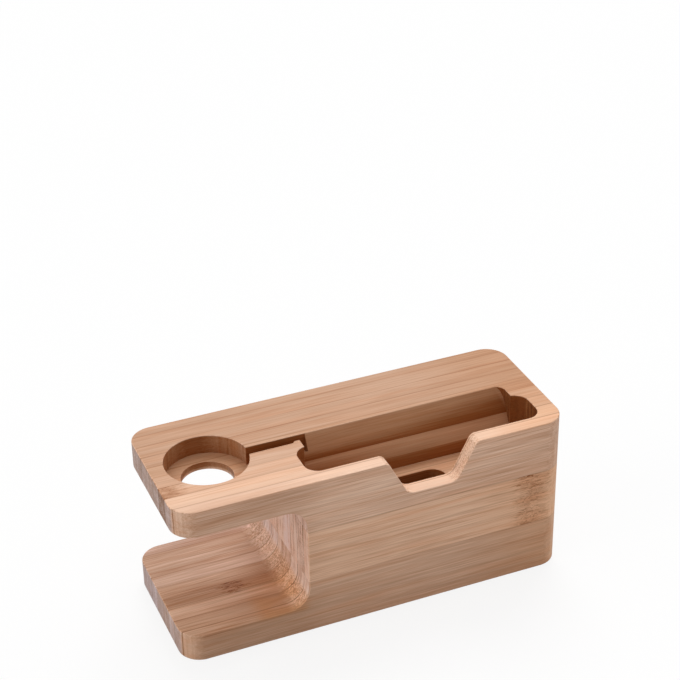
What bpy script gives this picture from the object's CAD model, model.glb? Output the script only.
import math

import bmesh
import bpy
from mathutils import Matrix


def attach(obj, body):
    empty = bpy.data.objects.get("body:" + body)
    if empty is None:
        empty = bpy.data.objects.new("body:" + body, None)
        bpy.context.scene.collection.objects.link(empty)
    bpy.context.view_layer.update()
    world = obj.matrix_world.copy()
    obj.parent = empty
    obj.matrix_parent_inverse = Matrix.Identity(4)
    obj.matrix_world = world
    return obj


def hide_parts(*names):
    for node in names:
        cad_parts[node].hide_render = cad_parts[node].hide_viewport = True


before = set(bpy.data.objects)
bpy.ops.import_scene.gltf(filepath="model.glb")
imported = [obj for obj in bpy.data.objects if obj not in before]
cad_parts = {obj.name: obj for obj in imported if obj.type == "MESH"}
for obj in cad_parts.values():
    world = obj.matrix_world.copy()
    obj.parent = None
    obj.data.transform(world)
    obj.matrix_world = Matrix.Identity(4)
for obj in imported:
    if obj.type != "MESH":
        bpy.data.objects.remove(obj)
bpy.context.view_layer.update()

# ------------------------------------------------------------------ the glued block
# Strips of bamboo are glued into one block, nine layers from front to back and three rows high.
# The block is sawn to size and its four upright corners are rounded on a sander.
# All milling below is laid out in millimetres from the block's front left foot.
LENGTH, DEPTH, HEIGHT = 142, 54, 61
CORNER_R = 8
ARC_STEPS = 24
BEYOND = 3  # how far a cut runs past the face that it opens


def block_between(x, y, z):
    """A block between a low and a high limit along each axis."""
    mesh = bmesh.new()
    bmesh.ops.create_cube(mesh, size=1)
    bmesh.ops.scale(mesh, vec=(x[1] - x[0], y[1] - y[0], z[1] - z[0]), verts=mesh.verts)
    bmesh.ops.translate(mesh, vec=[(low + high) / 2 for low, high in (x, y, z)], verts=mesh.verts)
    return mesh


def edges_along(mesh, axis, wanted=lambda middle: True):
    """The edges that run along an axis (0, 1 or 2) and whose middle is wanted."""
    found = []
    for edge in mesh.edges:
        a, b = (v.co for v in edge.verts)
        if abs((b - a).normalized()[axis]) > 0.999 and wanted((a + b) / 2):
            found.append(edge)
    return found


def round_off(mesh, edges, reach, steps=ARC_STEPS):
    bmesh.ops.bevel(mesh, geom=edges, offset=reach, offset_type="OFFSET", segments=steps,
                    profile=0.5, affect="EDGES", material=-1, clamp_overlap=False)


block = block_between((0, LENGTH), (0, DEPTH), (0, HEIGHT))
round_off(block, edges_along(block, 2), CORNER_R)
cuts = []

# ------------------------------------------------------------------ the watch band's gap
# A wide cutter opens the left end right through from front to back.
# It leaves a shelf above and a foot below, and its own radius in the two inner corners.
GAP_DEPTH, FOOT_TOP, SHELF_UNDERSIDE, GAP_R = 45.2, 10.4, 51, 7.6

gap = block_between((-BEYOND, GAP_DEPTH), (-BEYOND, DEPTH + BEYOND), (FOOT_TOP, SHELF_UNDERSIDE))
round_off(gap, edges_along(gap, 1, lambda middle: middle.x > 0), GAP_R)
cuts.append(gap)

# ------------------------------------------------------------------ the charger's seat and slot
# A round seat for a watch charger is bored in the shelf, with a smaller hole through its floor
# for a fingertip. A slot takes the cable to the trough, and narrows just before it.
SEAT_X, SEAT_D, SEAT_DEPTH, PUSH_HOLE_D = 20, 29, 7, 18
SLOT_DEPTH, SLOT_FRONT, SLOT_BACK = 7, 24.5, 28.5
NECK_X, NECK_STEP, SLOT_END = 50, 1, 55.8


def drilled(x, y, z, diameter):
    mesh = bmesh.new()
    bmesh.ops.create_cone(mesh, cap_ends=True, segments=4 * ARC_STEPS, radius1=diameter / 2,
                          radius2=diameter / 2, depth=z[1] - z[0])
    bmesh.ops.translate(mesh, vec=(x, y, (z[0] + z[1]) / 2), verts=mesh.verts)
    return mesh


def plan_cut(points, z):
    """A cutter with the given outline in X and Y, raised from z[0] to z[1]."""
    mesh = bmesh.new()
    face = mesh.faces.new([mesh.verts.new((x, y, z[0])) for x, y in points])
    raised = bmesh.ops.extrude_face_region(mesh, geom=[face])
    top = [v for v in raised["geom"] if isinstance(v, bmesh.types.BMVert)]
    bmesh.ops.translate(mesh, vec=(0, 0, z[1] - z[0]), verts=top)
    bmesh.ops.recalc_face_normals(mesh, faces=mesh.faces)
    return mesh


cuts.append(drilled(SEAT_X, DEPTH / 2, (HEIGHT - SEAT_DEPTH, HEIGHT + BEYOND), SEAT_D))
cuts.append(drilled(SEAT_X, DEPTH / 2, (SHELF_UNDERSIDE - BEYOND, HEIGHT + BEYOND), PUSH_HOLE_D))
cuts.append(plan_cut([
    (SEAT_X, SLOT_FRONT), (NECK_X, SLOT_FRONT), (NECK_X + NECK_STEP, SLOT_FRONT + NECK_STEP),
    (SLOT_END, SLOT_FRONT + NECK_STEP), (SLOT_END, SLOT_BACK), (SEAT_X, SLOT_BACK),
], (HEIGHT - SLOT_DEPTH, HEIGHT + BEYOND)))

# ------------------------------------------------------------------ the trough
# A long trough with round corners is milled from above, behind a thin front wall. The wall behind
# it slopes back, so that what stands in the trough can lean on it.
TROUGH_X, TROUGH_Y, TROUGH_FLOOR, TROUGH_R = (48.5, 135.1), (5.6, 21), 42.5, 5
SLOPE_X, SLOPE_TOP_Y, SLOPE_R, LEAN = (52.8, 130.8), 28.5, 3, math.radians(29)
SLOPE_LAP = 0.3  # how far down the slope's cut laps into the trough

trough = block_between(TROUGH_X, TROUGH_Y, (TROUGH_FLOOR, HEIGHT + BEYOND))
round_off(trough, edges_along(trough, 2), TROUGH_R)
cuts.append(trough)

slope_drop = (SLOPE_TOP_Y - TROUGH_Y[1]) / math.tan(LEAN) + SLOPE_LAP
slope = block_between(SLOPE_X, (TROUGH_Y[0] + TROUGH_R, SLOPE_TOP_Y),
                      (HEIGHT - slope_drop, HEIGHT + BEYOND))
round_off(slope, edges_along(slope, 2, lambda middle: middle.y > TROUGH_Y[1]), SLOPE_R)
under = bmesh.ops.bisect_plane(
    slope, geom=slope.verts[:] + slope.edges[:] + slope.faces[:], clear_outer=True,
    plane_co=(0, SLOPE_TOP_Y, HEIGHT), plane_no=(0, math.cos(LEAN), -math.sin(LEAN)))
rim = [e for e in under["geom_cut"] if isinstance(e, bmesh.types.BMEdge)]
bmesh.ops.triangle_fill(slope, edges=rim, use_beauty=True)
bmesh.ops.recalc_face_normals(slope, faces=slope.faces)
cuts.append(slope)

# ------------------------------------------------------------------ the notch in the front wall
# A notch lowers the middle of the front wall, so that a thumb reaches over it. Its sides are
# slanted, and the cutter leaves them round above and below.
NOTCH_X, NOTCH_FLOOR, FLOOR_HALF, TOP_HALF = 91, 46.7, 9, 16.4
LOW_R, HIGH_R, SHOULDER = 4, 2.5, 6

notch_outline = [(-TOP_HALF - SHOULDER, HEIGHT + BEYOND), (-TOP_HALF - SHOULDER, HEIGHT),
                 (-TOP_HALF, HEIGHT), (-FLOOR_HALF, NOTCH_FLOOR)]
notch_outline += [(-x, z) for x, z in reversed(notch_outline)]
notch = plan_cut(notch_outline, (-BEYOND, TROUGH_Y[0] + 1))
bmesh.ops.transform(notch, verts=notch.verts, matrix=Matrix((
    (1, 0, 0, NOTCH_X), (0, 0, 1, 0), (0, 1, 0, 0), (0, 0, 0, 1))))
bmesh.ops.recalc_face_normals(notch, faces=notch.faces)
half_turn = math.atan2(HEIGHT - NOTCH_FLOOR, TOP_HALF - FLOOR_HALF) / 2
low = edges_along(notch, 1, lambda middle: abs(middle.z - NOTCH_FLOOR) < 0.1)
round_off(notch, low, LOW_R * math.tan(half_turn), ARC_STEPS // 2)
high = edges_along(notch, 1, lambda middle: abs(middle.z - HEIGHT) < 0.1
                   and abs(middle.x - NOTCH_X) < TOP_HALF + 1)
round_off(notch, high, HIGH_R * math.tan(half_turn), ARC_STEPS // 2)
cuts.append(notch)

# ------------------------------------------------------------------ the cable way
# An oval hole lets a plug up through the trough's floor, and a groove under the base takes its
# cable out at the back.
HOLE_X, HOLE_Y, GROOVE_X, GROOVE_TOP = (81, 101), (6, 16), (86, 96), 6

hole = block_between(HOLE_X, HOLE_Y, (-BEYOND, TROUGH_FLOOR + BEYOND))
just_under_half = (HOLE_Y[1] - HOLE_Y[0]) / 2 - 0.001  # so that the rounded corners don't meet
round_off(hole, edges_along(hole, 2), just_under_half)
cuts.append(hole)
cuts.append(block_between(GROOVE_X, (sum(HOLE_Y) / 2, DEPTH + BEYOND), (-BEYOND, GROOVE_TOP)))

# ------------------------------------------------------------------ milling and sanding
# The cuts are milled out of the glued block. Its outer edges are eased by sanding, and the rims
# inside the outline only lose their burr.
EASE, RIM_EASE, SHARP = 0.38, 0.22, math.radians(30)
TOUCHING, NEARLY_FLAT = 0.01, math.radians(0.5)


def object_of(mesh, name):
    data = bpy.data.meshes.new(name)
    mesh.to_mesh(data)
    mesh.free()
    made = bpy.data.objects.new(name, data)
    bpy.context.scene.collection.objects.link(made)
    return made


blank = object_of(block, "blank")
cutters = [object_of(cut, "cut") for cut in cuts]
for cutter in cutters:
    milling = blank.modifiers.new("milling", "BOOLEAN")
    milling.operation, milling.solver, milling.object = "DIFFERENCE", "EXACT", cutter
bpy.context.view_layer.update()
milled = bmesh.new()
milled.from_object(blank, bpy.context.evaluated_depsgraph_get())
for used in [blank] + cutters:
    data = used.data
    bpy.data.objects.remove(used)
    bpy.data.meshes.remove(data)

bmesh.ops.remove_doubles(milled, verts=milled.verts, dist=TOUCHING)
bmesh.ops.dissolve_limit(milled, angle_limit=NEARLY_FLAT, verts=milled.verts, edges=milled.edges)


def inset_from_outline(point):
    """How far a point is inside the block's outline in plan, with its round corners."""
    half_x, half_y = LENGTH / 2 - CORNER_R, DEPTH / 2 - CORNER_R
    over_x, over_y = abs(point.x - LENGTH / 2) - half_x, abs(point.y - DEPTH / 2) - half_y
    if over_x > 0 and over_y > 0:
        return CORNER_R - math.hypot(over_x, over_y)
    return CORNER_R - max(over_x, over_y)


outer, inner = [], []
for edge in milled.edges:
    if edge.is_manifold and edge.is_convex and edge.calc_face_angle() > SHARP:
        middle = (edge.verts[0].co + edge.verts[1].co) / 2
        is_rim = middle.z > TROUGH_FLOOR + 1 and inset_from_outline(middle) > 0.5
        (inner if is_rim else outer).append(edge)
round_off(milled, outer, EASE, 3)
round_off(milled, [e for e in inner if e.is_valid], RIM_EASE, 2)

# ------------------------------------------------------------------ bamboo
# The strips are split from the wall of a bamboo stem. Its fibre bundles run along the strip: they
# are fine lines along the grain, and dots where the grain is cut across.
# A strip is darker towards the stem's skin, and a joint of the stem is a ragged, ruddy band.

# Places in the wood are in millimetres from the middle of the base. A depth is how dark it is.
# These are its colours from the palest to the darkest, each with the depth that it stands for.
WOOD = ((0.0, (1.0, 0.67, 0.47)), (0.15, (0.90, 0.57, 0.385)), (0.36, (0.68, 0.405, 0.262)),
        (0.575, (0.49, 0.262, 0.148)), (0.79, (0.32, 0.12, 0.037)), (1.0, (0.13, 0.034, 0.007)))
# Casts that multiply those colours: on pale and on ruddy streaks, on sawn ends, and where warm.
PALE_CAST, RUDDY_CAST = (0.99, 1.02, 1.05), (1.02, 0.94, 0.88)
GREY_CAST, WARM_CAST = (0.78, 0.93, 1.25), (1.0, 0.86, 0.68)
# Where the glue lines are, from the block's front and from its base, and how dark each shows.
LAYER_SEAMS = {4.6: 0.27, 11: 0.34, 17.4: 0.2, 23.8: 0.1, 30.2: 0.16, 36.6: 0.22, 43: 0.2, 49.4: 0.12}
ROW_SEAMS = {20.6: 0.16, 41.3: 0.2}


def add_node(tree, kind, inputs=None, **settings):
    """A node of that kind. Its inputs are plain values, readings, or the outputs of other nodes."""
    node = tree.nodes.new("ShaderNode" + kind)
    for key, value in settings.items():
        setattr(node, key, value)
    for at, value in (inputs or {}).items():
        if isinstance(value, Reading):
            value = value.socket
        if isinstance(value, bpy.types.NodeSocket):
            tree.links.new(value, node.inputs[at])
        else:
            node.inputs[at].default_value = value
    return node


class Reading:
    """A number that varies over the wood. A sum of readings adds its nodes to the material."""

    sums = "Math"

    def __init__(self, socket):
        self.socket, self.tree = socket, socket.id_data

    def sum_of(self, operation, a, b=0.0):
        return type(self)(add_node(self.tree, self.sums, {0: a, 1: b}, operation=operation).outputs[0])

    def __add__(self, other):
        return self.sum_of("ADD", self, other)

    def __mul__(self, other):
        return self.sum_of("MULTIPLY", self, other)

    def __sub__(self, other):
        return self.sum_of("SUBTRACT", self, other)

    def __rsub__(self, other):
        return self.sum_of("SUBTRACT", other, self)

    def __abs__(self):
        return self.sum_of("ABSOLUTE", self)

    __radd__, __rmul__ = __add__, __mul__

    def or_more(self, other):
        return self.sum_of("MAXIMUM", self, other)

    def fade(self, start, end, low=0.0, high=1.0):
        """Goes smoothly from low to high while this reading goes from start to end."""
        spans = {"Value": self, "From Min": start, "From Max": end, "To Min": low, "To Max": high}
        return Reading(add_node(self.tree, "MapRange", spans, interpolation_type="SMOOTHSTEP").outputs[0])

    def swing(self, amount):
        """A noise from 0 to 1, swung about 0."""
        return (self - 0.5) * amount


class Place(Reading):
    """A point that varies over the wood, or a step from one point to another."""

    sums = "VectorMath"

    def noise(self, stretch, detail):
        inputs = {"Vector": self * stretch, "Scale": 1.0, "Detail": detail}
        return add_node(self.tree, "TexNoise", inputs).outputs

    def grain(self, stretch, detail=0.0):
        """Noise with so many waves per millimetre along x, y and z."""
        return Reading(self.noise(stretch, detail)[0])

    def wander(self, stretch, detail=0.0):
        """The same as a step in any direction."""
        return Place(self.noise(stretch, detail)["Color"]) - (0.5, 0.5, 0.5)

    def scaled(self, by):
        inputs = {0: self, "Scale": by}
        return Place(add_node(self.tree, "VectorMath", inputs, operation="SCALE").outputs[0])


class Spot:
    """A spot of a strip: where it is, which way its face looks, and how its fibres run."""

    def __init__(self, tree, seed, stem_joint):
        self.here = Place(add_node(tree, "TexCoord").outputs["Object"]) * (1000, 1000, 1000)
        x, y, z = map(Reading, add_node(tree, "SeparateXYZ", {0: self.here}).outputs)
        self.x, self.y, self.z = x, y, z
        self.to_right = x.fade(25, 70)

        # How far the face cuts across the grain: at a slant or square. How level it is.
        normal = add_node(tree, "NewGeometry").outputs["Normal"]
        sideways, _, upward = map(Reading, add_node(tree, "SeparateXYZ", {0: normal}).outputs)
        self.across = abs(sideways).fade(0.1, 0.6)
        self.square = abs(sideways).fade(0.88, 0.99)
        self.slanted = self.across * (1.0 - self.square)
        self.sawn_end = self.square * abs(x).fade(LENGTH / 2 - 4, LENGTH / 2 - 1)
        self.level = abs(upward).fade(0.1, 0.5)

        # The cutter has scorched the upright walls inside the seat, the slot and the trough, least
        # on the seat's sides.
        self.inside = (z.fade(60.9, 60.6) * y.fade(-22, -21.2) * y.fade(22, 21) * x.fade(-67, -66)
                       * x.fade(66, 65) * z.fade(51.5, 52.5).or_more(x.fade(-24.5, -23.5)))
        on_seat_side = self.across * x.fade(-30, -38)
        self.scorch = self.inside * abs(upward).fade(0.6, 0.2) * (1.0 + on_seat_side * -0.25)

        # The fibres wander a little, and swirl at a joint of the stem, whose ends are ragged.
        self.strip = Place(add_node(tree, "Mapping", {
            "Vector": self.here, "Location": (37.0 * seed, 11.3 * seed, 7.9 * seed),
            "Rotation": (0, 0.003 * math.sin(seed), 0.004 * math.sin(2.3 * seed))}).outputs[0])
        self.fibre = self.strip + self.strip.wander((0.02, 0.05, 0.05)) * (0, 0.8, 0.8)
        if stem_joint:
            at, half_width, _ = stem_joint
            tongues = x + self.strip.grain((0.08, 0.9, 0.9), 1).swing(14)
            self.joint = abs(tongues - at).fade(half_width, 0.2 * half_width)
            swirl = self.strip.wander((0.3, 0.35, 0.35), 2)
            self.fibre = self.fibre + swirl.scaled(self.joint * 2.5)


def figure_of(spot, layer, contrast, skin):
    """The figure of the grain as a change of depth, its fine lines, and its relief."""
    fibre = spot.fibre
    bands = fibre.grain((0.012, 0.16, 0.2), 1)
    growth = fibre.grain((0.012, 0.9, 0.1), 1)
    streaks = fibre.grain((0.02, 0.1, 1), 2)
    lines = fibre.grain((0.03, 1.9, 1.9), 1)
    hairs = fibre.grain((0.08, 5, 5), 1)
    veins = fibre.grain((0.016, 0.7, 1.3), 1).fade(0.58, 0.74, 0.0, 0.12)
    bundles = add_node(fibre.tree, "TexVoronoi", {
        "Vector": fibre * (0.008, 1.5, 1.5), "Scale": 1.0, "Randomness": 0.85})
    cores = Reading(bundles.outputs["Distance"]).fade(0.45, 0.15)
    towards_skin = spot.y.fade(layer[0] - DEPTH / 2, layer[1] - DEPTH / 2, -skin, skin)
    figure = (bands.swing(0.3) + growth.swing(0.26) + streaks.swing(0.4) + lines.swing(0.5)
              + hairs.swing(0.7) + towards_skin * 0.035 + veins + cores * 0.03)
    upright, flat = contrast
    figure = figure * (upright + spot.level * (flat - upright) + spot.slanted * -0.35)

    # Cut across, the layers of growth are stripes. Cut at a slant, the bundles are speckles.
    speckle = fibre.grain((0.8, 2.2, 2.2)).swing(0.9)
    stripes = growth.swing(0.8) + fibre.grain((0.012, 1.7, 0.06), 1).swing(1.1)
    figure = (figure + spot.slanted * spot.level * speckle
              + stripes * (spot.square + spot.slanted * 0.25 + spot.sawn_end * -0.65))
    return figure, lines, lines * 0.5 + hairs * 0.4 + cores * -0.4


def with_glue_lines(depth, spot, layer, row):
    """The depth with thin dark glue lines, where the strip's edges meet the strips beside it."""
    patchy = spot.strip.grain((0.025, 0.1, 0.1), 1).fade(0.3, 0.65, 0.35, 1.2)
    for reading, edges, seams, middle, more_across in (
            (spot.y, layer, LAYER_SEAMS, DEPTH / 2, 0.7), (spot.z, row, ROW_SEAMS, 0, -0.6)):
        for seam in edges:
            if seam in seams:
                line = abs(reading - (seam - middle)).fade(0.4, 0.04, 0.0, seams[seam]) * patchy
                depth = depth + line * (1.0 + spot.across * more_across)
    return depth


def depth_of(spot, figure, layer, row, tone, end_tone, stem_joint):
    """How dark the strip is: its own tone, its joint and glue lines, scorch marks and figure."""
    depth = tone + spot.across * (end_tone - tone) + spot.square * -0.13 + spot.to_right * 0.055
    if layer[0] == 0:
        # The front darkens towards its left end, and its top strip is paler above and in the notch.
        depth = depth + spot.x.fade(-16, -34) * 0.13
        if row[1] == HEIGHT:
            in_notch = spot.z.fade(50, 47.5)
            depth = depth + 0.035 + spot.level * (-0.065 + in_notch * -0.05)
    if stem_joint:
        strength = stem_joint[2]
        smudge = spot.fibre.grain((0.2, 0.4, 0.4), 1).fade(0.35, 0.6, 0.3 * strength, 0.7 * strength)
        ragged = spot.fibre.grain((0.35, 2.8, 2.8), 2).fade(0.5, 0.64, 0.0, 0.62 - strength)
        depth = depth + spot.joint * (smudge + ragged)
    depth = with_glue_lines(depth, spot, layer, row)

    # The scorch is darkest at the trough's right end, and the floors have darkened a little too.
    burnt = 0.8 + spot.across * spot.x.fade(50, 58) * 0.15
    depth = (depth + spot.inside * 0.03 + spot.scorch * 0.85 * (burnt - depth)
             + figure * (1.0 + spot.scorch * -0.6))

    # The sawn left and right ends are darker, the more so higher up.
    return (depth + spot.sawn_end * spot.z.fade(10, 54, 0.2, 0.34)) * 0.85 + 0.15


def colour_of(spot, depth, figure, layer, row, tint, stem_joint):
    """The colour of the wood at that depth, with the casts of its streaks, ends and warm places."""
    ramp = add_node(depth.tree, "ValToRGB", {"Fac": depth})
    stops = ramp.color_ramp.elements
    stops[0].position, stops[1].position = WOOD[0][0], WOOD[-1][0]
    for position, _ in WOOD[1:-1]:
        stops.new(position)
    for stop, (_, colour) in zip(stops, WOOD):
        stop.color = (*colour, 1)

    def mixed(amount, first, second, blend="MULTIPLY"):
        return add_node(depth.tree, "Mix", {"Factor": amount, 6: first, 7: second},
                        data_type="RGBA", blend_type=blend).outputs[2]

    # Each strip has a tint of its own, and its darker streaks and its joint are ruddy.
    ruddy = figure + spot.fibre.grain((0.02, 0.3, 0.4), 1).swing(0.7)
    if stem_joint:
        ruddy = ruddy + spot.joint * 0.2
    pale, red = ([a * b for a, b in zip(cast, tint)] + [1] for cast in (PALE_CAST, RUDDY_CAST))
    streaked = mixed(ruddy.fade(-0.16, 0.3), pale, red, "MIX")
    colour = mixed(1.0, ramp.outputs["Color"], streaked)
    colour = mixed(spot.square * (0.45 + spot.sawn_end * 0.5), colour, (*GREY_CAST, 1))

    # The wood has yellowed towards the right, but not on the face of the front's top strip. It is
    # warm inside the cuts, and where the gap's cutter has scorched its lower front corner.
    yellowed = spot.to_right * 0.55
    if layer[0] == 0 and row[1] == HEIGHT:
        yellowed = yellowed * spot.level
    blotch = spot.here.grain((0.07, 0.12, 0.1), 1).fade(0.36, 0.56, 0.3, 1.0)
    corner = (spot.x.fade(-47, -40) * spot.x.fade(-24, -28) * spot.y.fade(-1, -13)
              * spot.z.fade(16, 11) * spot.z.fade(9, 10.2) * blotch)
    warmth = corner.or_more(spot.inside * (0.45 + spot.scorch * 0.45)).or_more(yellowed)
    return mixed(warmth, colour, (*WARM_CAST, 1))


def bamboo(name, seed, layer, row, tone, end_tone, tint, contrast, skin, stem_joint):
    """The wood of one strip, whose layer and row are given by their two edges."""
    material = bpy.data.materials.new(name)
    material.use_nodes = True
    tree = material.node_tree
    spot = Spot(tree, seed, stem_joint)
    figure, lines, relief = figure_of(spot, layer, contrast, skin)
    depth = depth_of(spot, figure, layer, row, tone, end_tone, stem_joint)
    colour = colour_of(spot, depth, figure, layer, row, tint, stem_joint)
    roughness = 0.5 + lines.swing(0.25)
    bump = add_node(tree, "Bump", {"Strength": 0.3, "Distance": 0.00008, "Height": relief})
    shader = tree.nodes["Principled BSDF"]
    tree.links.new(colour, shader.inputs["Base Color"])
    tree.links.new(roughness.socket, shader.inputs["Roughness"])
    tree.links.new(bump.outputs[0], shader.inputs["Normal"])
    shader.inputs["Specular IOR Level"].default_value = 0.2
    return material


# ------------------------------------------------------------------ the strips
# The milled block is parted along its glue lines into the strips that it was made of, so that each
# is a piece of its own. The push hole cuts the middle strip of the shelf in two.
LAYERS = ("front", "second", "third", "fourth", "middle", "sixth", "seventh", "eighth", "back")
ROWS = ("bottom", "middle", "top")
# How dark the strips of each row are, from the front layer to the back one.
TONES = {
    "bottom": (0.20, 0.37, 0.20, 0.48, 0.41, 0.29, 0.41, 0.42, 0.44),
    "middle": (0.08, 0.16, 0.06, 0.02, 0.05, 0.08, 0.06, 0.12, 0.12),
    "top": (0.03, 0.08, 0.20, 0.28, 0.38, 0.40, 0.40, 0.39, 0.40),
}
# The same where the grain is cut across.
END_TONES = {
    "bottom": (0.08, 0.16, 0.08, 0.24, 0.20, 0.08, 0.18, 0.26, 0.20),
    "middle": (-0.05, 0.22, 0.05, 0.0, 0.02, 0.06, 0.05, 0.10, 0.10),
    "top": (0.04, 0.10, 0.14, 0.16, 0.16, 0.14, 0.16, 0.14, 0.16),
}
# How strong the figure of the grain is on upright and on level faces.
CONTRAST = {"bottom": (0.6, 0.8), "middle": (0.8, 0.8), "top": (0.85, 0.4)}
# Strips whose colour stands out a little from the others.
TINTS = {
    "front_top": (0.985, 1.0, 1.03), "front_middle": (1, 0.965, 0.93), "middle_top": (1, 0.97, 0.93),
    "fourth_middle": (1, 1.02, 1.1), "fourth_bottom": (1, 0.97, 0.93),
    "sixth_bottom": (0.96, 1, 1.08), "seventh_bottom": (0.98, 1.04, 1.14),
    "eighth_bottom": (0.98, 1.03, 1.12), "back_bottom": (0.98, 1.03, 1.2),
}
# Joints of the stem: where along the strip, half their width, and how dark they are.
STEM_JOINTS = {
    "front_middle": (57.5, 8, 0.27), "third_top": (-69, 8, 0.42), "fourth_bottom": (-46.5, 5, 0.3),
    "second_middle": (-20, 6, 0.3), "sixth_bottom": (38, 7, 0.3), "seventh_middle": (-8, 7, 0.3),
    "eighth_bottom": (30, 6, 0.3), "back_middle": (-38, 7, 0.25), "back_bottom": (22, 6, 0.25),
}
SLOT_NAMES = ("bamboo_pale", "bamboo_tan", "bamboo_brown")
KEPT_SHARP = math.radians(36)
TO_FRAME = Matrix.Scale(0.001, 4) @ Matrix.Translation((-LENGTH / 2, -DEPTH / 2, 0))


def saw(mesh, at, away):
    """Cuts off what is past a flat cut, and closes the cut."""
    parted = bmesh.ops.bisect_plane(mesh, geom=mesh.verts[:] + mesh.edges[:] + mesh.faces[:],
                                    dist=0.0005, plane_co=at, plane_no=away, clear_outer=True)
    open_edges = [e for e in parted["geom_cut"] if isinstance(e, bmesh.types.BMEdge) and e.is_boundary]
    bmesh.ops.triangle_fill(mesh, edges=open_edges, use_beauty=True, normal=away)


def strip_between(x, y, z):
    """The share of the milled block that one strip has, in the frame's own place and units."""
    mesh = milled.copy()
    for axis, (limits, size) in enumerate(zip((x, y, z), (LENGTH, DEPTH, HEIGHT))):
        for limit, side in zip(limits, (-1, 1)):
            if 0 < limit < size:
                at, away = [0, 0, 0], [0, 0, 0]
                at[axis], away[axis] = limit, side
                saw(mesh, at, away)
    loose = [v for v in mesh.verts if not v.link_faces]
    bmesh.ops.delete(mesh, geom=loose, context="VERTS")
    bmesh.ops.transform(mesh, matrix=TO_FRAME, verts=mesh.verts)
    bmesh.ops.recalc_face_normals(mesh, faces=mesh.faces)
    for face in mesh.faces:
        face.smooth = True
    return mesh


layer_edges, row_edges = (0, *LAYER_SEAMS, DEPTH), (0, *ROW_SEAMS, HEIGHT)
for i, (layer, *front_back) in enumerate(zip(LAYERS, layer_edges, layer_edges[1:])):
    for j, (row, *low_high) in enumerate(zip(ROWS, row_edges, row_edges[1:])):
        key = f"{layer}_{row}"
        parts = {"": (0, LENGTH)}
        if key == "middle_top":
            parts = {"_left": (0, SEAT_X), "_right": (SEAT_X, LENGTH)}
        for part, left_right in parts.items():
            piece = object_of(strip_between(left_right, front_back, low_high), f"{key}_bamboo{part}")
            piece.data.set_sharp_from_angle(angle=KEPT_SHARP)
            finish = piece.modifiers.new("sanded", "WEIGHTED_NORMAL")
            finish.keep_sharp = True
            piece.data.materials.append(bamboo(
                f"bamboo_{key}{part}", seed=3 * i + j + 1, layer=front_back, row=low_high,
                tone=TONES[row][i], end_tone=END_TONES[row][i], tint=TINTS.get(key, (1, 1, 1)),
                contrast=CONTRAST[row], skin=1 if (i + j) % 2 else -1, stem_joint=STEM_JOINTS.get(key)))
            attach(piece, "root")
            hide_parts(f"{layer}_layer_{row}_strip{part}")
            SLOT_NAMES[(2 * i + j) % 3]
milled.free()

# ------------------------------------------------------------------ floor and light
# A plain white floor that runs out of view, under an even sky with four broad, soft lamps.
# The camera sees the lit floor and the sky as white, and the object's shadow on the floor.
FLOOR_REACH = 6  # metres, as in the frame
FLOOR_GREY, SHADOW_GREY, FLOOR_GLOW = 0.64, 0.16, 0.83
SKY_LIGHT, SKY_SEEN = 0.42, 1.0

floor_mesh = bmesh.new()
bmesh.ops.create_grid(floor_mesh, x_segments=1, y_segments=1, size=FLOOR_REACH)
floor = object_of(floor_mesh, "floor")
floor_look = bpy.data.materials.new("floor_white")
floor_look.use_nodes = True
tree = floor_look.node_tree
tree.nodes.clear()
lit, shown = (add_node(tree, "BsdfDiffuse", {"Color": (grey, grey, grey, 1)})
              for grey in (FLOOR_GREY, SHADOW_GREY))
glow = add_node(tree, "Emission", {"Strength": FLOOR_GLOW})
seen = add_node(tree, "AddShader", {0: shown.outputs[0], 1: glow.outputs[0]})
by_camera = add_node(tree, "LightPath").outputs["Is Camera Ray"]
either = add_node(tree, "MixShader", {"Fac": by_camera, 1: lit.outputs[0], 2: seen.outputs[0]})
add_node(tree, "OutputMaterial", {"Surface": either.outputs[0]})
floor.data.materials.append(floor_look)

world = bpy.data.worlds.new("studio")
bpy.context.scene.world = world
world.use_nodes = True
sky = world.node_tree.nodes["Background"]
sky.inputs["Color"].default_value = (1, 1, 1, 1)
by_camera = add_node(world.node_tree, "LightPath").outputs["Is Camera Ray"]
brightness = add_node(world.node_tree, "MapRange", {
    "Value": by_camera, "To Min": SKY_LIGHT, "To Max": SKY_SEEN})
world.node_tree.links.new(brightness.outputs[0], sky.inputs["Strength"])


def soft_lamp(name, turn, height, strength):
    """A broad lamp far off: turn is from the front towards the right, and height above the floor."""
    light = bpy.data.lights.new(name, "SUN")
    light.energy, light.angle = strength, math.radians(40)
    made = bpy.data.objects.new(name, light)
    made.rotation_euler = (math.radians(90 - height), 0, math.radians(turn))
    bpy.context.scene.collection.objects.link(made)


soft_lamp("lamp_behind", 155, 52, 1.5)
soft_lamp("lamp_left", 267, 18, 0.75)
soft_lamp("lamp_right", 100, 20, 0.25)
soft_lamp("lamp_above", 0, 80, 0.45)

# ------------------------------------------------------------------ camera
# A long lens looks down on the stand from in front of it and a little to its left, with no
# change to the colours on their way to the picture.
LENS, SENSOR = 94.638, 36
CAMERA_AT = (-0.1939, -0.4745, 0.3987)
CAMERA_TURN = (59.3545, 0.9829, -22.5993)

eye = bpy.data.cameras.new("camera")
eye.lens, eye.sensor_width = LENS, SENSOR
camera = bpy.data.objects.new("camera", eye)
camera.location = CAMERA_AT
camera.rotation_euler = [math.radians(angle) for angle in CAMERA_TURN]
bpy.context.scene.collection.objects.link(camera)
bpy.context.scene.camera = camera
bpy.context.scene.view_settings.view_transform = "Standard"
